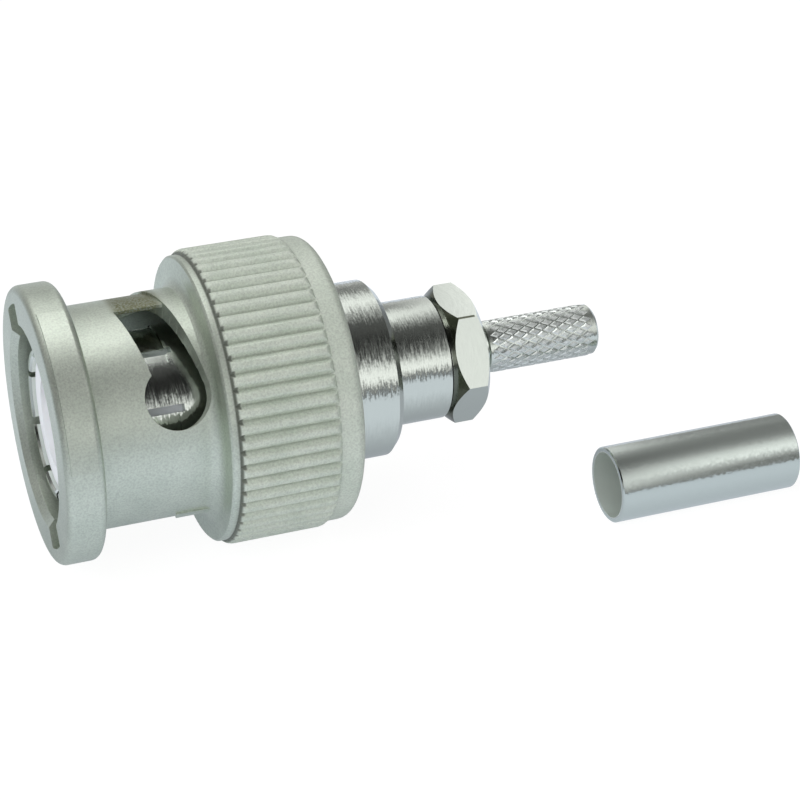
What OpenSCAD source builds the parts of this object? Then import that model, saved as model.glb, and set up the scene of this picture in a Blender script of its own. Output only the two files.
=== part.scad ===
// Coaxial bayonet cable plug with its loose crimp ferrule.
// Millimetres. X runs along the plug, from the mating face (x = 0) to the
// cable end, Z is up and the origin is on the plug's axis. The plug lies on its
// grip ring. Angles around the axis start at +Z and grow towards -Y.

/* [Coupling nut] */
// Radius of the front flange
flange_r = 7.25; // [7.1:0.05:7.6]
// Length of the front flange
flange_len = 2.02; // [1.8:0.02:2.3]
// Rounding of the flange edges
flange_round = 0.4; // [0.2:0.05:0.6]
// Radius of the barrel between flange and grip ring
barrel_r = 5.82; // [5.75:0.01:5.95]
// Radius of the bore that slides over the jack
nut_bore_r = 4.94; // [4.9:0.01:5.0]
// Chamfer at the mouth of the bore
mouth_chamfer = 0.35; // [0.1:0.05:0.45]
// Length of the nut
nut_len = 15.4; // [15.2:0.1:15.8]
// Front face of the grip ring, from the mating face
grip_x = 8.3; // [8.2:0.05:8.5]
// Radius over the crests of the grip ring
grip_r = 7.79; // [7.6:0.01:8]
// Depth of the grip flutes
flute_depth = 0.3; // [0.15:0.01:0.4]
// Number of grip flutes
flutes = 60; // [40:2:72]
// Length of the fluted part
flute_len = 5.31; // [4.5:0.01:5.6]

/* [Bayonet slots] */
// Depth circle radius of the closed groove that a stud runs in
groove_r = 5.62; // [5.58:0.01:5.7]
// Width of the entry notch
entry_w = 2.3; // [2.15:0.05:2.6]
// Radius of the entry notch where it opens in the flange
entry_r = 6.35; // [5.9:0.05:6.6]
// Angle of the first entry notch
entry_angle = -33; // [-36:1:-28]
// Width of the slanted slot, along the axis
slot_w = 2.58; // [2.3:0.02:2.7]
// Advance of the slanted slot for each degree
slot_rise = 0.019; // [0.017:0.001:0.021]
// Middle of the slanted slot at angle 0, from the mating face
slot_x = 5.71; // [5.6:0.01:5.8]
// Angle where the slot breaks through the barrel
window_angle = 1.5; // [-2:0.5:5]
// Radius of the round seat where the stud locks
seat_r = 1.66; // [1.4:0.02:1.7]
// Angle of the round seat
seat_angle = 58; // [56:1:60]
// Middle of the round seat, from the mating face
seat_x = 6.36; // [6.2:0.02:6.5]
// Height of the raised lip behind each slot
lip_h = 0.12; // [0.05:0.01:0.2]

/* [Outer contact] */
// Front end of the outer contact, from the mating face
contact_x = 0.62; // [0.3:0.02:0.9]
// Radius over the contact fingers' tips
contact_tip_r = 4.1; // [4.05:0.01:4.15]
// Radius of the fingers behind their tips
contact_r = 4.02; // [3.95:0.01:4.05]
// Radius of the solid root of the outer contact
contact_root_r = 4.12; // [4.08:0.01:4.14]
// Number of contact fingers
fingers = 8; // [6:1:10]
// Width of the slits between the fingers
slit_w = 0.4; // [0.3:0.05:0.5]
// Rear end of the slits, from the mating face
slit_end_x = 7; // [6.8:0.1:8]
// Angle of the first slit
slit_angle = 20; // [15:1:25]

/* [Bodies and stem] */
// Radius of the wide step of the rear body
body_r = 4.74; // [4.65:0.01:4.8]
// Length of the wide step
body_len = 4.1; // [3.6:0.1:5]
// Radius of the narrow step of the rear body
neck_body_r = 3.32; // [3.1:0.01:3.4]
// Length of the narrow step
neck_body_len = 3.26; // [2.8:0.02:4]
// Width of the hexagon across its flats
hex_w = 6.5; // [6:0.1:6.8]
// Groove between the rear body and the hexagon
hex_gap = 0.24; // [0.1:0.02:0.4]
// Length of the hexagon
hex_len = 1.8; // [1.5:0.05:2.5]
// Length of the relief between the hexagon and the crimp spigot
neck_len = 0.8; // [0.5:0.1:1.5]
// Radius of the crimp spigot
spigot_r = 1.37; // [1.3:0.01:1.45]
// Bore of the spigot, for the cable's dielectric
spigot_bore_r = 0.8; // [0.75:0.01:0.85]
// Length of the crimp spigot
spigot_len = 6.4; // [5:0.1:8]

/* [Crimp ferrule] */
// Outer radius of the ferrule
ferrule_r = 2.06; // [1.9:0.01:2.3]
// Wall of the ferrule
ferrule_wall = 0.28; // [0.2:0.01:0.35]
// Length of the ferrule
ferrule_len = 10.5; // [8:0.1:12]
// Place of the ferrule's front end, ahead of the spigot's rear end
ferrule_back = 1.8; // [0:0.1:4]
// Sideways place of the ferrule where it lies
ferrule_y = -6.9; // [-8:0.1:-6.5]

/* [Hidden] */
$fn = 72;

// Overshoot of every cutting tool
cut = 0.5;
// Clearance of a running fit
run_gap = 0.06;

// Coupling nut: edges, lip, pad and inner steps
cove_r = 0.75;
flange_cove = 0.15;
front_lip_len = 0.34;
front_lip_edge = 0.1;
flute_x = grip_x + front_lip_edge + front_lip_len;
flute_end_x = flute_x + flute_len;
flute_root_r = grip_r - flute_depth;
flute_pitch = 360 / flutes;
crest_share = 0.12;
shoulder_share = 0.24;
crest_drop = 0.05;
crown_r = 0.36;
crown_sweep = 62;
crown_sink = 0.02;
flute_core_depth = 0.1;
front_lip_rise = 0.04;
rear_band_rise = 0.09;
flute_run_out = 0.6;
flute_core_r = flute_root_r - flute_core_depth;
front_lip_r = flute_root_r + front_lip_rise;
rear_band_r = flute_root_r + rear_band_rise;
rear_round = 0.55;
pad_h = 0.06;
pad_from = 12;
pad_to = 82;
pad_x = 0.3;
pad_len = 1.4;

// Stack inside the nut, from the nut's rear end forwards
nut_rear_depth = 1;
nut_wall_len = 1.05;
washer_len = 0.25;
spring_len = 0.9;
collar_len = 0.7;
gasket_len = 0.9;
rear_body_x = nut_len - nut_rear_depth;
nut_wall_x = rear_body_x - nut_wall_len;
washer_x = nut_wall_x - washer_len;
spring_x = washer_x - spring_len;
collar_x = spring_x - collar_len;
gasket_x = collar_x - gasket_len;
collar_r = nut_bore_r - run_gap;
spring_thick = 0.2;
waves = 3;
wave_steps = 60;
hub_r = 4.3;
hub_seat_len = 2.1;
hub_end_x = rear_body_x + hub_seat_len;
nut_wall_bore_r = hub_r + run_gap;
nut_rear_gap = 0.1;
nut_rear_bore_r = body_r + nut_rear_gap;

// Bayonet slot: prisms of some degrees each follow the helix
slot_step = 10;
prism_margin = 0.36;
entry_depth = 1.3;
sector_step = 30;
seat_blend_r = 1;
seat_blend_angle = 54.5;
slot_end_angle = 52;
lip_from = -46;
lip_to = 64;
lip_inset = 0.25;
lip_end_x = grip_x - lip_inset;

// Outer contact
tip_bevel = 0.25;
tip_inner_bevel = 0.12;
tip_len = 0.9;
tip_taper = 0.3;
contact_step_x = 6.7;
insulator_r = 3.5;
tail_r = 3.7;
tail_len = 2;
tail_end_x = collar_x + tail_len;
tail_bore_r = 2.5;
tail_wall_len = 0.3;
insulator_end_x = collar_x - tail_wall_len;

// Insulators
insulator_x = 0.93;
insulator_bore_r = 2.42;
web_len = 1.8;
web_x = insulator_end_x - web_len;
pin_r = 0.675;
pin_gap = 0.025;
rear_insulator_len = 4.3;
rear_insulator_end_x = insulator_end_x + rear_insulator_len;

// Centre contact
pin_x = 1.4;
pin_tip_r = 0.3;
pin_tip_len = 0.7;
socket_r = 0.95;
socket_hole_r = 0.42;
socket_len = 5;
socket_end_x = insulator_end_x + socket_len;
socket_hole_len = 2.8;
socket_hole_x = socket_end_x - socket_hole_len;
sight_hole_r = 0.2;
sight_hole_inset = 0.6;
sight_hole_x = socket_hole_x + sight_hole_inset;

// Rear body
body_bevel = 0.34;
small_bevel = 0.1;
cavity_r = 2;
thread_r = 2.4;
thread_inset = 0.3;
body_end_x = rear_body_x + body_len;
neck_body_end_x = body_end_x + neck_body_len;
thread_x = body_end_x + thread_inset;

// Crimp stem
stem_collar_r = 2.9;
hex_x = neck_body_end_x + hex_gap;
hex_end_x = hex_x + hex_len;
hex_front_bevel = 0.45;
hex_rear_bevel = 0.3;
hex_angle = 33;
relief_front_depth = 0.05;
relief_rear_depth = 0.12;
spigot_x = hex_end_x + neck_len;
spigot_end_x = spigot_x + spigot_len;
spigot_front_bevel = 0.06;
spigot_bevel = 0.14;

// Crimp ferrule
ferrule_bevel = 0.06;
ferrule_x = spigot_end_x - ferrule_back;
ferrule_end_x = ferrule_x + ferrule_len;
floor_z = -grip_r * cos((0.5 - crest_share) * flute_pitch);

// Points [r, x] of an arc about [r0, x0]; angle 0 points to +r, 90 to +x
function arc(r0, x0, radius, from, to, steps = 8) =
    [for (i = [0 : steps]) let (a = from + (to - from) * i / steps)
        [r0 + radius * cos(a), x0 + radius * sin(a)]];

// Points [r, a] around the axis turned into the plane of an extrusion along X
function around(r, a) = [-r * cos(a), -r * sin(a)];

// Solid turned about the plug's axis from points [r, x]
module turned(points) rotate([0, 90, 0]) rotate_extrude() polygon(points);

// Ring about the axis from x0 to x1
module ring(outer, inner, x0, x1)
    turned([[inner, x0], [outer, x0], [outer, x1], [inner, x1]]);

// Wedge about the axis between two angles, from x0 to x1
module sector(from, to, x0, x1) {
    steps = ceil((to - from) / sector_step);
    reach = (flange_r + cut) / cos(sector_step / 2);
    translate([x0, 0, 0]) rotate([0, 90, 0])
        linear_extrude(height = x1 - x0)
            polygon(concat([[0, 0]],
                [for (i = [0 : steps]) around(reach, from + (to - from) * i / steps)]));
}

// Radial prisms that follow the bayonet helix from one angle to another;
// front and rear are offsets from the slot's middle line
module helix_prisms(from, to, front, rear) {
    steps = ceil((to - from) / slot_step);
    half = (to - from) / steps / 2;
    side = (barrel_r + prism_margin) * tan(half);
    rise = slot_rise * half;
    for (i = [0 : steps - 1]) {
        a = from + half * (2 * i + 1);
        mid = slot_x + slot_rise * a;
        rotate([a, 0, 0])
            linear_extrude(height = flange_r + cut)
                polygon([[mid - rise + front, side], [mid + rise + front, -side],
                         [mid + rise + rear, -side], [mid - rise + rear, side]]);
    }
}

// Twice, half a turn apart
module both_sides() {
    children();
    rotate([180, 0, 0]) children();
}

// ---- Coupling nut ----

module nut_blank() {
    turned(concat(
        [[nut_bore_r, nut_wall_x], [nut_bore_r, mouth_chamfer]],
        [[nut_bore_r + mouth_chamfer, 0]],
        arc(flange_r - flange_round, flange_round, flange_round, -90, 0),
        arc(flange_r - flange_round, flange_len - flange_round, flange_round, 0, 90),
        arc(barrel_r + flange_cove, flange_len + flange_cove, flange_cove, -90, -180),
        arc(barrel_r + cove_r, grip_x - cove_r, cove_r, 180, 90),
        [[front_lip_r - front_lip_edge, grip_x]],
        [[front_lip_r, grip_x + front_lip_edge], [front_lip_r, flute_x]],
        [[flute_core_r, flute_x], [flute_core_r, flute_end_x - flute_run_out]],
        [[rear_band_r, flute_end_x]],
        arc(rear_band_r - rear_round, nut_len - rear_round, rear_round, 0, 90),
        [[nut_rear_bore_r, nut_len], [nut_rear_bore_r, rear_body_x]],
        [[nut_wall_bore_r, rear_body_x], [nut_wall_bore_r, nut_wall_x]]));
}

// Straight flutes, cut to a crown that falls at both ends
module grip_flutes() {
    outline = [for (i = [0 : flutes - 1])
        for (p = [[0, flute_root_r],
                  [0.5 - shoulder_share, grip_r - crest_drop],
                  [0.5 - crest_share, grip_r],
                  [0.5 + crest_share, grip_r],
                  [0.5 + shoulder_share, grip_r - crest_drop]])
            around(p[1], (i + p[0]) * flute_pitch)];
    intersection() {
        translate([flute_x, 0, 0]) rotate([0, 90, 0])
            linear_extrude(height = flute_len)
                difference() {
                    polygon(outline);
                    circle(r = flute_root_r - cut);
                }
        turned(concat(
            [[barrel_r, flute_x], [front_lip_r - crown_sink, flute_x]],
            arc(grip_r - crown_r, flute_x + crown_r, crown_r, -crown_sweep, 0, 4),
            arc(grip_r - crown_r, flute_end_x - crown_r, crown_r, 0, crown_sweep, 4),
            [[rear_band_r - crown_sink, flute_end_x], [barrel_r, flute_end_x]]));
    }
}

// Slightly raised, bare field on the flange's rim
module rim_pad() {
    intersection() {
        ring(flange_r + pad_h, flange_r - flange_round, pad_x, pad_x + pad_len);
        sector(pad_from, pad_to, 0, flange_len);
    }
}

// Raised lip along the rear edge of a slot
module slot_lip() {
    difference() {
        intersection() {
            ring(barrel_r + lip_h, groove_r, slot_x, lip_end_x);
            sector(lip_from, lip_to, slot_x, lip_end_x);
        }
        helix_prisms(lip_from - slot_step, lip_to + slot_step, -slot_x, slot_w / 2);
    }
}

// Entry notch, closed groove, open window and round seat of one stud
module bayonet_slot() {
    entry_mid_x = slot_x + slot_rise * entry_angle;
    half_w = slot_w / 2;
    intersection() {
        union() {
            rotate([entry_angle, 0, 0])
                translate([-cut, -entry_w / 2, 0])
                    cube([entry_mid_x + cut, entry_w, flange_r]);
            rotate([entry_angle, 0, 0])
                translate([entry_mid_x, 0, 0]) cylinder(r = entry_w / 2, h = flange_r);
            helix_prisms(entry_angle, window_angle, -half_w, half_w);
        }
        translate([-cut, 0, 0]) rotate([0, 90, 0]) cylinder(r = groove_r, h = nut_wall_x);
    }
    intersection() {
        rotate([entry_angle, 0, 0])
            translate([-cut, -entry_w / 2, 0])
                cube([entry_depth + cut, entry_w, flange_r]);
        translate([-cut, 0, 0]) rotate([0, 90, 0])
            cylinder(r = entry_r, h = entry_depth + 2 * cut);
    }
    helix_prisms(window_angle, slot_end_angle, -half_w, half_w);
    rotate([seat_angle, 0, 0])
        translate([seat_x, 0, 0]) cylinder(r = seat_r, h = flange_r);
    rotate([seat_blend_angle, 0, 0])
        translate([seat_x + seat_r - seat_blend_r, 0, 0])
            cylinder(r = seat_blend_r, h = flange_r);
}

module coupling_nut() {
    color("#b9beb4")
        difference() {
            union() {
                nut_blank();
                grip_flutes();
                rim_pad();
                both_sides() slot_lip();
            }
            both_sides() bayonet_slot();
        }
}

// ---- Stack inside the nut ----

module thrust_washer() {
    color("#c9ccc6")
        ring(collar_r, nut_wall_bore_r, washer_x, nut_wall_x);
}

// Three-wave washer between the front body's collar and the thrust washer
module wave_spring() {
    inner = hub_r + 2 * run_gap;
    outer = collar_r - run_gap;
    swing = (spring_len - spring_thick) / 2;
    function wave_x(a) = spring_x + spring_len / 2 + swing * cos(waves * a);
    points = [for (i = [0 : wave_steps - 1]) let (a = 360 * i / wave_steps)
        for (corner = [[inner, -1], [outer, -1], [outer, 1], [inner, 1]])
            [wave_x(a) + corner[1] * spring_thick / 2,
             corner[0] * sin(a), corner[0] * cos(a)]];
    faces = [for (i = [0 : wave_steps - 1]) for (k = [0 : 3])
        let (j = (i + 1) % wave_steps, m = (k + 1) % 4)
            [4 * i + k, 4 * j + k, 4 * j + m, 4 * i + m]];
    color("#a9a48f") polyhedron(points = points, faces = faces);
}

module gasket() {
    color("#b5482f")
        ring(collar_r - run_gap, contact_root_r, gasket_x, collar_x);
}

// ---- Contacts and insulators ----

// Slit sleeve that springs into the jack
module outer_contact() {
    color("#c8cac4")
        difference() {
            turned([
                [insulator_r, contact_x + tip_inner_bevel],
                [insulator_r + tip_inner_bevel, contact_x],
                [contact_tip_r - tip_bevel, contact_x],
                [contact_tip_r, contact_x + tip_bevel],
                [contact_tip_r, contact_x + tip_len],
                [contact_r, contact_x + tip_len + tip_taper],
                [contact_r, contact_step_x],
                [contact_root_r, contact_step_x],
                [contact_root_r, collar_x],
                [tail_r, collar_x],
                [tail_r, tail_end_x],
                [tail_bore_r, tail_end_x],
                [tail_bore_r, insulator_end_x],
                [insulator_r, insulator_end_x]]);
            for (i = [0 : fingers - 1])
                rotate([slit_angle + 360 * i / fingers, 0, 0])
                    translate([0, -slit_w / 2, insulator_r - cut])
                        cube([slit_end_x, slit_w, 2 * cut + contact_tip_r - insulator_r]);
        }
}

module front_insulator() {
    color("#f3f3ee")
        turned([
            [insulator_bore_r, insulator_x],
            [insulator_r, insulator_x],
            [insulator_r, insulator_end_x],
            [pin_r + pin_gap, insulator_end_x],
            [pin_r + pin_gap, web_x],
            [insulator_bore_r, web_x]]);
}

module rear_insulator() {
    color("#f3f3ee")
        ring(tail_bore_r, socket_r, insulator_end_x, rear_insulator_end_x);
}

// Pin with a crimp socket for the cable's inner wire
module centre_contact() {
    color("#d9b25a")
        difference() {
            turned([
                [0, pin_x],
                [pin_tip_r, pin_x],
                [pin_r, pin_x + pin_tip_len],
                [pin_r, insulator_end_x],
                [socket_r, insulator_end_x],
                [socket_r, socket_end_x],
                [socket_hole_r, socket_end_x],
                [socket_hole_r, socket_hole_x],
                [0, socket_hole_x]]);
            translate([sight_hole_x, 0, 0]) cylinder(r = sight_hole_r, h = 2 * socket_r);
        }
}

// ---- Bodies and stem ----

// Collar and hub that carry the outer contact and the nut
module front_body() {
    color("#cfd1cb")
        turned([
            [tail_r, collar_x],
            [collar_r, collar_x],
            [collar_r, spring_x],
            [hub_r, spring_x],
            [hub_r, hub_end_x],
            [tail_bore_r, hub_end_x],
            [tail_bore_r, tail_end_x],
            [tail_r, tail_end_x]]);
}

// Stepped sleeve pressed on the hub behind the nut
module rear_body() {
    color("#cfd1cb")
        turned([
            [hub_r, rear_body_x],
            [body_r, rear_body_x],
            [body_r, body_end_x - body_bevel],
            [body_r - body_bevel, body_end_x],
            [neck_body_r, body_end_x],
            [neck_body_r, neck_body_end_x - small_bevel],
            [neck_body_r - small_bevel, neck_body_end_x],
            [thread_r, neck_body_end_x],
            [thread_r, thread_x],
            [cavity_r, thread_x],
            [cavity_r, hub_end_x],
            [hub_r, hub_end_x]]);
}

// Hexagon with both ends turned down to its flats
module stem_hex() {
    corner_r = hex_w / 2 / cos(30);
    intersection() {
        translate([hex_x, 0, 0]) rotate([hex_angle, 0, 0]) rotate([0, 90, 0])
            cylinder(r = corner_r, h = hex_len, $fn = 6);
        turned([
            [0, hex_x],
            [hex_w / 2, hex_x],
            [corner_r + small_bevel, hex_x + hex_front_bevel + small_bevel],
            [corner_r + small_bevel, hex_end_x - hex_rear_bevel - small_bevel],
            [hex_w / 2, hex_end_x],
            [0, hex_end_x]]);
    }
}

// Threaded end, hexagon and crimp spigot, bored through
module crimp_stem() {
    bore_mouth = spigot_bore_r + small_bevel;
    color("#c6c9c3")
        difference() {
            union() {
                turned([
                    [0, thread_x],
                    [thread_r, thread_x],
                    [thread_r, neck_body_end_x],
                    [stem_collar_r, neck_body_end_x],
                    [stem_collar_r, hex_x],
                    [spigot_r - relief_front_depth, hex_x],
                    [spigot_r - relief_front_depth, hex_end_x],
                    [spigot_r - relief_rear_depth, spigot_x],
                    [spigot_r, spigot_x + spigot_front_bevel],
                    [spigot_r, spigot_end_x - spigot_bevel],
                    [spigot_r - spigot_bevel, spigot_end_x],
                    [0, spigot_end_x]]);
                stem_hex();
            }
            translate([thread_x - cut, 0, 0]) rotate([0, 90, 0])
                cylinder(r = spigot_bore_r, h = spigot_end_x - thread_x + 2 * cut);
            turned([
                [0, spigot_end_x - small_bevel],
                [spigot_bore_r, spigot_end_x - small_bevel],
                [bore_mouth, spigot_end_x],
                [bore_mouth, spigot_end_x + cut],
                [0, spigot_end_x + cut]]);
        }
}

// Plain tube that lies beside the plug
module crimp_ferrule() {
    inner = ferrule_r - ferrule_wall;
    color("#ccd0cb")
        translate([0, ferrule_y, floor_z + ferrule_r])
            turned([
                [inner, ferrule_x],
                [ferrule_r - ferrule_bevel, ferrule_x],
                [ferrule_r, ferrule_x + ferrule_bevel],
                [ferrule_r, ferrule_end_x - ferrule_bevel],
                [ferrule_r - ferrule_bevel, ferrule_end_x],
                [inner, ferrule_end_x]]);
}

coupling_nut();
thrust_washer();
wave_spring();
gasket();
outer_contact();
front_insulator();
rear_insulator();
centre_contact();
front_body();
rear_body();
crimp_stem();
crimp_ferrule();
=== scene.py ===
"""Coaxial bayonet cable plug and its loose crimp ferrule: finishes, knurl, floor, light and camera."""
import math

import bmesh
import bpy
from mathutils import Matrix, Vector


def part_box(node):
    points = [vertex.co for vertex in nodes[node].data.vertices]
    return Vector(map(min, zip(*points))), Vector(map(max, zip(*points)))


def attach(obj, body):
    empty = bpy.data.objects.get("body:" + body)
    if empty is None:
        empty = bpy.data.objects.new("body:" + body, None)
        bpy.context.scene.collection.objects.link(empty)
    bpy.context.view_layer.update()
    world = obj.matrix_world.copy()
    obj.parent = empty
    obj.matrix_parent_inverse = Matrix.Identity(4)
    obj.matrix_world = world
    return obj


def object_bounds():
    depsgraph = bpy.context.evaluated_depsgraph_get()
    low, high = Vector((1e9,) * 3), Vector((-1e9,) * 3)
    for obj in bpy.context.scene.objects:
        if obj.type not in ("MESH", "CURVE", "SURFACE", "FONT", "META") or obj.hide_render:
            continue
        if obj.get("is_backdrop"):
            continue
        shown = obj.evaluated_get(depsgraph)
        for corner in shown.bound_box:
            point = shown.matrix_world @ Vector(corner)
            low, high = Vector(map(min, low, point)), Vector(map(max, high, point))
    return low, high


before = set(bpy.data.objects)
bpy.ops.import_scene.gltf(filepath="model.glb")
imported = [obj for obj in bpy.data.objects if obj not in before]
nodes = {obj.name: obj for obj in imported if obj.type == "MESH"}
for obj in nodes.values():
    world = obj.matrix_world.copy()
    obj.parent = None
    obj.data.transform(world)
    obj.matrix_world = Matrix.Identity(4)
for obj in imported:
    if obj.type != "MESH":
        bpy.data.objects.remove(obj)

MM = 0.001
cad_low, cad_high = (Vector(corner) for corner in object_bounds())

# ---- Sizes and places on the solids; the plug lies along X with its mouth at 0 ----

ferrule_low, ferrule_high = (Vector(corner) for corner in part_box("crimp_ferrule"))
ferrule_mid = (ferrule_low + ferrule_high) / 2
FERRULE_BORE_R = 1.78 * MM
GRIP_R = 7.79 * MM
SPIGOT_R = 1.37 * MM
SPIGOT_LEN = 6.4 * MM
NECK_LEN = 0.8 * MM

body_end_x = Vector(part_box("rear_body")[1]).x
stem_end_x = Vector(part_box("crimp_stem")[1]).x
spigot_x = stem_end_x - SPIGOT_LEN
# The hexagon, with a little of the groove before it
HEX_GROOVE = 0.2 * MM
hex_low, hex_high = body_end_x + HEX_GROOVE, spigot_x - NECK_LEN

# Along X: the fluted part of the grip, the front ends of its grooves, and a place well behind the nut
FLUTES_X = (8.6 * MM, 14.1 * MM)
FLUTE_FRONTS_X = (8.68 * MM, 9.0 * MM)
GRIP_TONE_X = (8.75 * MM, 30 * MM)
# From the axis: under the floor of the flutes, up to where the painted shade in them stops
UNDER_FLUTES_R = 7.2 * MM
SHADE_TOP_R = GRIP_R - 0.22 * MM
PIT_TOP_R = GRIP_R - 0.12 * MM
# The stain beside the open slot, and the tool's nick on the hexagon, with their angles from overhead
STAIN_X = (4.5 * MM, 6.9 * MM)
STAIN_TURN = (math.radians(-25), math.radians(3))
NICK_X = (hex_low + 0.45 * MM, hex_low + 1.4 * MM)
NICK_TURN = (math.radians(31.4), math.radians(33.6))

# ---- Kinds of node that are used often ----

MATH = "ShaderNodeMath"
VECTOR = "ShaderNodeVectorMath"
NOISE = "ShaderNodeTexNoise"
RAMP = "ShaderNodeValToRGB"
RANGE = "ShaderNodeMapRange"
MIX = "ShaderNodeMix"
SPLIT = "ShaderNodeSeparateXYZ"
ADD, SUBTRACT, MULTIPLY, DIVIDE = ({"operation": name} for name in ("ADD", "SUBTRACT", "MULTIPLY", "DIVIDE"))
SMOOTH = {"interpolation_type": "SMOOTHSTEP"}
BLEND = {"data_type": "RGBA", "blend_type": "MIX"}
# Sockets of a Mix node that blends colours
FACTOR, FIRST, SECOND, RESULT = 0, 6, 7, 2


# ---- Small helpers ----

def srgb(code):
    """Linear red, green, blue, alpha of a hex sRGB colour."""
    channels = [int(code[i:i + 2], 16) / 255 for i in (1, 3, 5)]
    return [c / 12.92 if c <= 0.04045 else ((c + 0.055) / 1.055) ** 2.4 for c in channels] + [1]


def grey(level):
    """Linear grey of an sRGB level from 0 to 1."""
    return srgb("#" + f"{round(level * 255):02x}" * 3)


def feed(tree, node, inputs):
    """Fills a node's sockets, each with a value, an output or another node's first output."""
    for socket, value in inputs.items():
        if isinstance(value, bpy.types.Node):
            value = value.outputs[0]
        if isinstance(value, bpy.types.NodeSocket):
            tree.links.new(value, node.inputs[socket])
        else:
            node.inputs[socket].default_value = value


def add(tree, kind, settings=None, inputs=None):
    """Adds a node of a kind, with its settings and what its sockets get."""
    node = tree.nodes.new(kind)
    for name, value in (settings or {}).items():
        setattr(node, name, value)
    feed(tree, node, inputs or {})
    return node


def fill_ramp(node, stops):
    """Sets a Color Ramp's stops from (place, colour) pairs."""
    elements = node.color_ramp.elements
    while len(elements) > 1:
        elements.remove(elements[-1])
    elements[0].position, elements[0].color = stops[0]
    for place, colour in stops[1:]:
        elements.new(place).color = colour


def empty_material(name):
    """A material without nodes, and its tree."""
    material = bpy.data.materials.new(name)
    material.use_nodes = True
    material.node_tree.nodes.clear()
    return material, material.node_tree


def new_material(name):
    """A material with a Principled shader, its tree, the shader, and the point's place in the plug's own frame."""
    material, tree = empty_material(name)
    shader = add(tree, "ShaderNodeBsdfPrincipled")
    add(tree, "ShaderNodeOutputMaterial", inputs={"Surface": shader})
    return material, tree, shader, add(tree, "ShaderNodeTexCoord").outputs["Object"]


def around_axis(tree, place, centre_y=0.0, centre_z=0.0):
    """Place along the axis, distance from it and angle about it, for a piece turned about X."""
    x, y, z = add(tree, SPLIT, inputs={0: place}).outputs
    y = add(tree, MATH, SUBTRACT, {0: y, 1: centre_y})
    z = add(tree, MATH, SUBTRACT, {0: z, 1: centre_z})
    squares = add(tree, MATH, ADD, {0: add(tree, MATH, MULTIPLY, {0: y, 1: y}),
                                    1: add(tree, MATH, MULTIPLY, {0: z, 1: z})})
    radius = add(tree, MATH, {"operation": "SQRT"}, {0: squares})
    frontward = add(tree, MATH, MULTIPLY, {0: y, 1: -1.0})
    angle = add(tree, MATH, {"operation": "ARCTAN2"}, {0: frontward, 1: z})
    return x, radius, angle


def turning_marks(tree, place, x, radius, width, length):
    """Noise drawn out round the axis, as a cutting edge leaves it; a mark's width and length in metres."""
    _, y, z = add(tree, SPLIT, inputs={0: place}).outputs
    profile = add(tree, MATH, ADD, {0: x, 1: radius})
    stretched = add(tree, "ShaderNodeCombineXYZ", inputs={
        i: add(tree, MATH, DIVIDE, {0: part, 1: size})
        for i, (part, size) in enumerate(((profile, width), (y, length), (z, length)))})
    return add(tree, NOISE, inputs={"Vector": stretched, "Scale": 1.0, "Detail": 4.0, "Roughness": 0.6})


def wavering_normal(tree, wave, amount):
    """The surface's normal, swung round the plug's axis by a noise; amount in radians."""
    flat = add(tree, "ShaderNodeNewGeometry").outputs["Normal"]
    tangent = add(tree, VECTOR, {"operation": "CROSS_PRODUCT"}, {0: (1, 0, 0), 1: flat})
    swing = add(tree, MATH, MULTIPLY, {0: add(tree, MATH, SUBTRACT, {0: wave, 1: 0.5}), 1: amount})
    lean = add(tree, VECTOR, {"operation": "SCALE"}, {0: tangent, "Scale": swing})
    tilted = add(tree, VECTOR, ADD, {0: flat, 1: lean})
    return add(tree, VECTOR, {"operation": "NORMALIZE"}, {0: tilted})


def between(tree, value, low, high, soft):
    """1 where value lies between low and high, fading over soft on either side of each."""
    rise, fall = (add(tree, RANGE, SMOOTH, {"Value": value, "From Min": edge - soft, "From Max": edge + soft})
                  for edge in (low, high))
    return add(tree, MATH, MULTIPLY, {0: rise, 1: add(tree, MATH, SUBTRACT, {0: 1.0, 1: fall})})


def patch(tree, first, second):
    """1 where two values each lie in their range; both are given as value, low, high, soft."""
    return add(tree, MATH, MULTIPLY, {0: between(tree, *first), 1: between(tree, *second)})


# ---- Finishes ----

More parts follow.
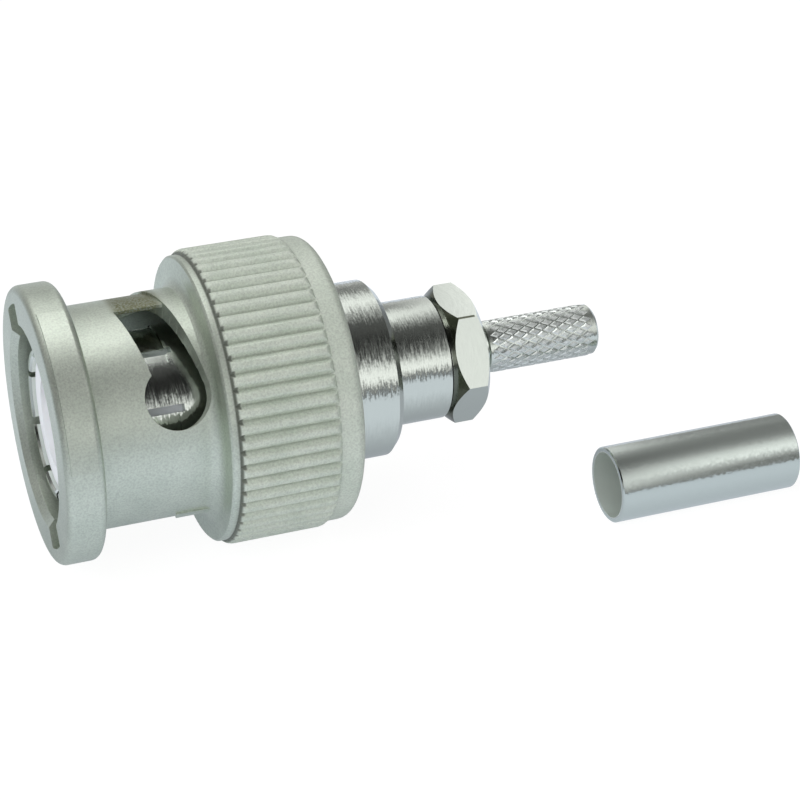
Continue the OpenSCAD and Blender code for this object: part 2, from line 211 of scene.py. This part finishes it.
def satin_nickel_casting():
    """Zinc die casting under satin nickel: dull and faintly green, smoother in front, tumbled matt on the grip."""
    material, tree, shader, place = new_material("satin_nickel_casting")
    x, radius, angle = around_axis(tree, place)
    # The grain of the casting, and the broad unevenness of its plating
    fine = add(tree, NOISE, inputs={"Vector": place, "Scale": 1 / (0.11 * MM), "Detail": 3.0, "Roughness": 0.6})
    cloud = add(tree, NOISE, inputs={"Vector": place, "Scale": 1 / (1.6 * MM), "Detail": 2.0})
    on_grip = between(tree, x, *GRIP_TONE_X, 0.35 * MM)
    front, grip, speckle = (add(tree, RAMP, inputs={"Fac": noise}) for noise in (cloud, cloud, fine))
    fill_ramp(front, [(0.3, srgb("#dbe4d7")), (0.7, srgb("#e4ecdf"))])
    fill_ramp(grip, [(0.3, srgb("#dae3d6")), (0.7, srgb("#e4ebdf"))])
    fill_ramp(speckle, [(0.3, grey(0.90)), (0.62, grey(1.0))])
    colour = add(tree, MIX, BLEND, {FACTOR: on_grip, FIRST: front, SECOND: grip}).outputs[RESULT]

    # A brownish stain, uneven with the grain
    stain = patch(tree, (x, *STAIN_X, 0.3 * MM), (angle, *STAIN_TURN, math.radians(2)))
    uneven = add(tree, RANGE, inputs={"Value": fine, "From Min": 0.35, "From Max": 0.55, "To Min": 0.35, "To Max": 1.0})
    stain = add(tree, MATH, MULTIPLY, {0: stain, 1: uneven})
    colour = add(tree, MIX, BLEND, {FACTOR: stain, FIRST: colour, SECOND: srgb("#8d8f6f")}).outputs[RESULT]

    # Painted shade in the recesses: a little in the flutes, more in their front ends
    grooves = patch(tree, (x, *FLUTES_X, 0.15 * MM), (radius, UNDER_FLUTES_R, SHADE_TOP_R, 0.05 * MM))
    pit_shade = patch(tree, (x, *FLUTE_FRONTS_X, 0.05 * MM), (radius, UNDER_FLUTES_R, PIT_TOP_R, 0.05 * MM))
    recess_shade = add(tree, MATH, {"operation": "MAXIMUM"}, {0: add(tree, MATH, MULTIPLY, {0: grooves, 1: 0.2}),
                                                      1: add(tree, MATH, MULTIPLY, {0: pit_shade, 1: 0.75})})
    # The grey that the painted shade in the flutes and pits blends towards
    colour = add(tree, MIX, BLEND, {FACTOR: recess_shade, FIRST: colour, SECOND: srgb("#5f635a")}).outputs[RESULT]
    colour = add(tree, MIX, {"data_type": "RGBA", "blend_type": "MULTIPLY"},
                 {FACTOR: 1.0, FIRST: colour, SECOND: speckle}).outputs[RESULT]

    # The tumbled grip is less like metal and rougher than the front
    less_metal = add(tree, MATH, MULTIPLY, {0: on_grip, 1: 0.35})
    rough = add(tree, MATH, ADD, {0: add(tree, MATH, MULTIPLY, {0: fine, 1: 0.12}),
                                  1: add(tree, MATH, MULTIPLY, {0: on_grip, 1: 0.15})})
    soft_edge = add(tree, "ShaderNodeBevel", {"samples": 6}, {"Radius": 0.04 * MM})
    feed(tree, shader, {
        "Base Color": colour,
        "Metallic": add(tree, MATH, SUBTRACT, {0: 0.95, 1: less_metal}),
        "Roughness": add(tree, MATH, ADD, {0: rough, 1: 0.42}),
        "Normal": add(tree, "ShaderNodeBump", inputs={
            "Strength": 0.4, "Distance": 0.02 * MM, "Height": fine, "Normal": soft_edge})})
    return material


def bright_nickel():
    """Bright nickel on turned brass: mirror-like, broken up by short marks round the axis; the hexagon is smooth."""
    material, tree, shader, place = new_material("bright_nickel")
    x, radius, angle = around_axis(tree, place)
    marks = turning_marks(tree, place, x, radius, 0.07 * MM, 0.6 * MM)
    grain = add(tree, NOISE, inputs={"Vector": place, "Scale": 1 / (0.12 * MM), "Detail": 2.0})
    wave = add(tree, MATH, ADD, {0: add(tree, MATH, MULTIPLY, {0: marks, 1: 0.7}),
                                 1: add(tree, MATH, MULTIPLY, {0: grain, 1: 0.3})})
    hexagon = between(tree, x, hex_low, hex_high, 0.02 * MM)
    # Darker colour: the nick, and painted shade on the hexagon's front chamfer, whose faces look towards the mouth
    nick = patch(tree, (x, *NICK_X, 0.04 * MM), (angle, *NICK_TURN, math.radians(0.3)))
    normal = add(tree, "ShaderNodeNewGeometry").outputs["Normal"]
    facing = add(tree, SPLIT, inputs={0: normal}).outputs["X"]
    frontward = add(tree, MATH, {"operation": "LESS_THAN"}, {0: facing, 1: -0.25})
    # Painted shade: the hexagon's faces that look towards the mouth are drawn darker
    chamfer = add(tree, MATH, MULTIPLY, {0: hexagon, 1: frontward})
    nick_and_chamfer_shade = add(tree, MATH, {"operation": "MAXIMUM"}, {0: nick, 1: chamfer})
    # Radians that the normal sways, and how much less on the hexagon
    sway, hexagon_less = 0.5, 0.46
    smoother = add(tree, MATH, MULTIPLY, {0: hexagon, 1: hexagon_less})
    amount = add(tree, MATH, SUBTRACT, {0: sway, 1: smoother})
    feed(tree, shader, {
        "Base Color": add(tree, MIX, BLEND, {
            FACTOR: nick_and_chamfer_shade, FIRST: srgb("#d6dcd4"), SECOND: srgb("#5b5f50")}).outputs[RESULT],
        "Metallic": 1.0,
        "Roughness": add(tree, RANGE, inputs={
            "Value": marks, "From Min": 0.3, "From Max": 0.7, "To Min": 0.10, "To Max": 0.18}),
        "Normal": wavering_normal(tree, wave, amount)})
    return material


def knurled_nickel():
    """Nickel on a rolled knurl: the plating is duller and greyer where the tool has pressed it."""
    material, tree, shader, place = new_material("knurled_nickel")
    grain = add(tree, NOISE, inputs={"Vector": place, "Scale": 1 / (0.15 * MM), "Detail": 3.0})
    tone = add(tree, RAMP, inputs={"Fac": grain})
    fill_ramp(tone, [(0.35, srgb("#d3dad6")), (0.6, srgb("#eef2ef"))])
    feed(tree, shader, {
        "Base Color": tone,
        "Metallic": 0.8,
        "Roughness": add(tree, RANGE, inputs={
            "Value": grain, "From Min": 0.3, "From Max": 0.7, "To Min": 0.28, "To Max": 0.42})})
    return material


def drawn_nickel_tube():
    """Drawn brass tube under nickel: bright and slightly mottled outside, duller in the bore."""
    material, tree, shader, place = new_material("drawn_nickel_tube")
    mottle = add(tree, NOISE, inputs={"Vector": place, "Scale": 1 / (0.18 * MM), "Detail": 4.0, "Roughness": 0.7})
    _, radius, _ = around_axis(tree, place, ferrule_mid.y, ferrule_mid.z)
    inside = add(tree, MATH, {"operation": "LESS_THAN"}, {0: radius, 1: FERRULE_BORE_R + 0.03 * MM})
    rough = add(tree, RANGE, inputs={
        "Value": mottle, "From Min": 0.3, "From Max": 0.7, "To Min": 0.10, "To Max": 0.22})
    feed(tree, shader, {
        "Base Color": srgb("#ccd4ce"),
        "Metallic": add(tree, MATH, SUBTRACT, {0: 1.0, 1: add(tree, MATH, MULTIPLY, {0: inside, 1: 0.5})}),
        "Roughness": add(tree, MATH, ADD, {0: rough, 1: add(tree, MATH, MULTIPLY, {0: inside, 1: 0.3})}),
        "Normal": wavering_normal(tree, mottle, 0.25)})
    return material


def ptfe():
    """Turned PTFE: white with a cool tinge, waxy, with faint turning marks."""
    material, tree, shader, place = new_material("ptfe")
    x, radius, _ = around_axis(tree, place)
    marks = turning_marks(tree, place, x, radius, 0.08 * MM, 1.5 * MM)
    feed(tree, shader, {
        "Base Color": srgb("#f1f5fb"),
        "Roughness": 0.45,
        "Normal": add(tree, "ShaderNodeBump", inputs={"Strength": 0.15, "Distance": 0.01 * MM, "Height": marks})})
    return material


def plain_metal(name, code, roughness):
    """Plain metal with a light grain."""
    material, tree, shader, place = new_material(name)
    grain = add(tree, NOISE, inputs={"Vector": place, "Scale": 1 / (0.1 * MM), "Detail": 2.0})
    feed(tree, shader, {
        "Base Color": srgb(code),
        "Metallic": 1.0,
        "Roughness": add(tree, RANGE, inputs={
            "Value": grain, "To Min": roughness - 0.05, "To Max": roughness + 0.05})})
    return material


def silicone():
    """Moulded silicone rubber: matt brick red."""
    material, tree, shader, _ = new_material("silicone")
    feed(tree, shader, {"Base Color": srgb("#a8452f"), "Roughness": 0.6})
    return material


# ---- Knurl ----

def diamond_knurl(low_x, high_x, radius, around, slant, height):
    """Rows of four-sided studs between two sets of grooves slanted by slant degrees, on a cylinder about X."""
    pitch = 2 * math.pi * radius / around
    long_pitch = pitch / math.tan(math.radians(slant))
    rows = round(2 * (high_x - low_x) / long_pitch) - 1
    step = (high_x - low_x) / (rows + 1)
    rise = height * 0.12
    mesh = bmesh.new()
    for row in range(rows):
        stud = bmesh.ops.create_cone(mesh, cap_ends=True, segments=4, radius1=1.0, radius2=0.5, depth=1.0)
        verts = stud["verts"]
        bmesh.ops.scale(mesh, verts=verts, vec=(step, pitch / 2, height))
        bmesh.ops.translate(mesh, verts=verts, vec=(low_x + step * (row + 1), 0, radius + rise))
        bmesh.ops.rotate(mesh, verts=verts, cent=(0, 0, 0),
                         matrix=Matrix.Rotation(math.pi / around * (row % 2), 3, "X"))
        faces = list({f for v in verts for f in v.link_faces})
        bmesh.ops.spin(mesh, geom=faces, cent=(0, 0, 0), axis=(1, 0, 0), use_duplicate=True,
                       angle=2 * math.pi * (around - 1) / around, steps=around - 1)
    return mesh


def finish_piece(mesh, name, material, body):
    """Makes a mesh a piece of the scene, riding on a body."""
    bmesh.ops.recalc_face_normals(mesh, faces=mesh.faces)
    data = bpy.data.meshes.new(name)
    mesh.to_mesh(data)
    mesh.free()
    data.materials.append(material)
    piece = bpy.data.objects.new(name, data)
    bpy.context.scene.collection.objects.link(piece)
    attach(piece, body)


# ---- Build ----

casting = satin_nickel_casting()
turned = bright_nickel()
finishes = {
    "coupling_nut": casting,
    # Hardened steel strip: dull grey
    "thrust_washer": plain_metal("spring_steel", "#a6a59c", 0.35),
    "wave_spring": plain_metal("spring_steel_wave", "#a6a59c", 0.35),
    "gasket": silicone(),
    "outer_contact": turned,
    "front_insulator": ptfe(),
    "rear_insulator": ptfe(),
    # Gold plate: warm and bright
    "centre_contact": plain_metal("gold_plate", "#d9b25a", 0.25),
    "front_body": turned,
    "rear_body": turned,
    "crimp_stem": turned,
    "crimp_ferrule": drawn_nickel_tube(),
}
for name, material in finishes.items():
    node = nodes[name]
    node.data.materials.clear()
    node.data.materials.append(material)

# The knurl stops a little short of both ends of the spigot
KNURL_FRONT_GAP, KNURL_REAR_GAP = 0.1 * MM, 0.25 * MM
knurl = diamond_knurl(spigot_x + KNURL_FRONT_GAP, stem_end_x - KNURL_REAR_GAP, SPIGOT_R,
                      around=20, slant=27, height=0.07 * MM)
finish_piece(knurl, "spigot_knurl", knurled_nickel(), "plug")

# ---- Floor ----

FLOOR_SIZE, FLOOR_X = 1.2, 0.02
bpy.ops.mesh.primitive_plane_add(size=FLOOR_SIZE, location=(0, 0, 0))
floor = bpy.context.object
floor.name = "floor"
floor.data.transform(Matrix.Translation((FLOOR_X, 0, cad_low.z)))
floor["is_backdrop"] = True


# How bright the paper is to the eye, and how much of the eye's and the mirrors' view is even light, not shaded paper
PAPER_GLOW = 1.12
EYE_SHARE = 0.82
MIRROR_SHARE = 0.85


def paper():
    """White paper sweep: white to the eye and in the metal, and it still takes the shadow."""
    material, tree = empty_material("paper")
    diffuse = add(tree, "ShaderNodeBsdfDiffuse", inputs={"Color": srgb("#f4f4f4")})
    white = add(tree, "ShaderNodeEmission", inputs={"Color": (1, 1, 1, 1), "Strength": PAPER_GLOW})
    rays = add(tree, "ShaderNodeLightPath").outputs
    mirrored = add(tree, MATH, {"operation": "MAXIMUM"}, {0: rays["Is Glossy Ray"], 1: rays["Is Transmission Ray"]})
    # In the metal the paper darkens towards its front, left and right ends, and a painted shadow darkens it under the
    # plug
    parts = add(tree, SPLIT, inputs={0: add(tree, "ShaderNodeTexCoord").outputs["Object"]}).outputs
    front, left, right = (
        add(tree, RANGE, SMOOTH, {"Value": parts[side], "From Min": dark_from * MM, "From Max": lit_from * MM,
                                  "To Min": 0.25, "To Max": 1.05})
        for side, dark_from, lit_from in (("Y", -80, -45), ("X", -60, -15), ("X", 110, 70)))
    lit = add(tree, MATH, {"operation": "MINIMUM"}, {
        0: add(tree, MATH, {"operation": "MINIMUM"}, {0: front, 1: left}), 1: right})
    # Painted shadow of the plug: the paper's glow in the metal is dimmer near the axis
    off_axis = add(tree, MATH, {"operation": "ABSOLUTE"}, {0: parts["Y"]})
    painted_shadow = add(tree, RANGE, SMOOTH, {"Value": off_axis, "From Min": 0, "From Max": 14 * MM,
                                      "To Min": 0.55, "To Max": 1.0})
    cool = add(tree, "ShaderNodeEmission", inputs={
        "Color": srgb("#dfe6f2"), "Strength": add(tree, MATH, MULTIPLY, {0: lit, 1: painted_shadow})})
    seen = add(tree, "ShaderNodeMixShader", inputs={
        0: add(tree, MATH, MULTIPLY, {0: rays["Is Camera Ray"], 1: EYE_SHARE}), 1: diffuse, 2: white})
    both = add(tree, "ShaderNodeMixShader", inputs={
        0: add(tree, MATH, MULTIPLY, {0: mirrored, 1: MIRROR_SHARE}), 1: seen, 2: cool})
    add(tree, "ShaderNodeOutputMaterial", inputs={"Surface": both})
    return material


floor.data.materials.append(paper())

# ---- Light ----

# The studio round the plug: its sRGB level by angle about the X axis, in degrees from overhead and positive to
# the front. A direction's X chooses between the three: the nut and the rear body's wide step mirror the first,
# its narrow step, the hexagon and the spigot the second, and the ferrule the third.
OVER_NUT = [(-98, 0.75), (-84, 0.66), (-72, 0.44), (-60, 0.44), (-48, 0.78), (-36, 1.0), (-24, 0.92), (-12, 0.6),
            (0, 0.3), (12, 0.26), (24, 0.13), (36, 0.13), (48, 0.27), (56, 0.6), (64, 0.88), (72, 1.0),
            (80, 0.9), (86, 0.62), (90, 0.4), (98, 0.8)]
OVER_NECK = [(-98, 0.75), (-84, 0.85), (-72, 0.97), (-60, 1.0), (-48, 0.93), (-36, 0.7), (-24, 0.5), (-12, 0.36),
             (0, 0.28), (24, 0.2), (36, 0.36), (48, 0.6), (60, 0.88), (72, 1.0), (82, 0.85), (90, 0.4),
             (98, 0.8)]
OVER_FERRULE = [(-98, 0.75), (-80, 0.5), (-56, 0.54), (-32, 0.47), (-20, 0.49), (-8, 0.51), (4, 0.57),
                (16, 0.7), (28, 0.9), (40, 1.0), (52, 1.0), (64, 0.7), (76, 0.4), (88, 0.5), (98, 0.8)]
# The directions' X over which one gives way to the next, and the strength of the whole
TO_NECK = (0.305, 0.335)
TO_FERRULE = (0.37, 0.40)
STUDIO_STRENGTH = 1.3
world = bpy.data.worlds.new("studio")
bpy.context.scene.world = world
world.use_nodes = True
sky = world.node_tree
sky.nodes.clear()
direction = add(sky, SPLIT, inputs={0: add(sky, "ShaderNodeTexCoord").outputs["Generated"]}).outputs
to_front = add(sky, MATH, MULTIPLY, {0: direction["Y"], 1: -1.0})
turn = add(sky, MATH, {"operation": "ARCTAN2"}, {0: to_front, 1: direction["Z"]})
share = add(sky, MATH, ADD, {0: add(sky, MATH, DIVIDE, {0: turn, 1: 2 * math.pi}), 1: 0.5})


def fade(low, high, start, end):
    """Start where a direction's X is low, end where it is high."""
    return add(sky, RANGE, SMOOTH, {"Value": direction["X"], "From Min": low, "From Max": high,
                                    "To Min": start, "To Max": end})


ramps = []
for levels in (OVER_NUT, OVER_NECK, OVER_FERRULE):
    ramp = add(sky, RAMP, inputs={"Fac": share})
    fill_ramp(ramp, [(degrees / 360 + 0.5, grey(level)) for degrees, level in levels])
    ramps.append(ramp)
over_nut, over_neck, over_ferrule = ramps
level = add(sky, MIX, BLEND, {
    FACTOR: fade(*TO_NECK, 0.0, 1.0), FIRST: over_nut, SECOND: over_neck}).outputs[RESULT]
level = add(sky, MIX, BLEND, {
    FACTOR: fade(*TO_FERRULE, 0.0, 1.0), FIRST: level, SECOND: over_ferrule}).outputs[RESULT]
ends = add(sky, MATH, {"operation": "MINIMUM"}, {0: fade(-0.9, -0.3, 0.45, 1.0), 1: fade(0.6, 0.85, 1.0, 0.3)})
level = add(sky, VECTOR, {"operation": "SCALE"}, {0: level, "Scale": ends})
background = add(sky, "ShaderNodeBackground", inputs={"Color": level, "Strength": STUDIO_STRENGTH})
add(sky, "ShaderNodeOutputWorld", inputs={"Surface": background})


def soft_box(name, place, target, size, power):
    """A square area lamp that looks at target."""
    lamp = bpy.data.lights.new(name, "AREA")
    lamp.size, lamp.energy = size, power
    holder = bpy.data.objects.new(name, lamp)
    bpy.context.scene.collection.objects.link(holder)
    holder.location = place
    holder.rotation_euler = (Vector(target) - Vector(place)).to_track_quat("-Z", "Y").to_euler()
    return holder


# A small lamp overhead draws the shadow; a wide one to the front left fills it and stays out of the mirrors
soft_box("key", place=(0.005, 0.015, 0.1), target=(0.005, 0, 0), size=0.035, power=0.014)
fill = soft_box("fill", place=(-0.2, -0.15, 0.2), target=(cad_low + cad_high) / 2, size=0.3, power=0.8)
fill.visible_glossy = False

# ---- Camera ----

AIM = Vector((19.92, 0, -2.328)) * MM
AZIMUTH, ELEVATION, DISTANCE = math.radians(-20.417), math.radians(29.242), 130 * MM
SENSOR_WIDTH, FOCAL_LENGTH = 36, 108.42
camera = bpy.data.objects.new("camera", bpy.data.cameras.new("camera"))
bpy.context.scene.collection.objects.link(camera)
back = Vector((math.sin(AZIMUTH) * math.cos(ELEVATION), -math.cos(AZIMUTH) * math.cos(ELEVATION),
               math.sin(ELEVATION)))
camera.location = AIM + back * DISTANCE
camera.rotation_euler = back.to_track_quat("Z", "Y").to_euler()
camera.data.sensor_width = SENSOR_WIDTH
camera.data.lens = FOCAL_LENGTH
camera.data.clip_start, camera.data.clip_end = 0.005, 5
bpy.context.scene.camera = camera
bpy.context.scene.view_settings.view_transform = "Standard"
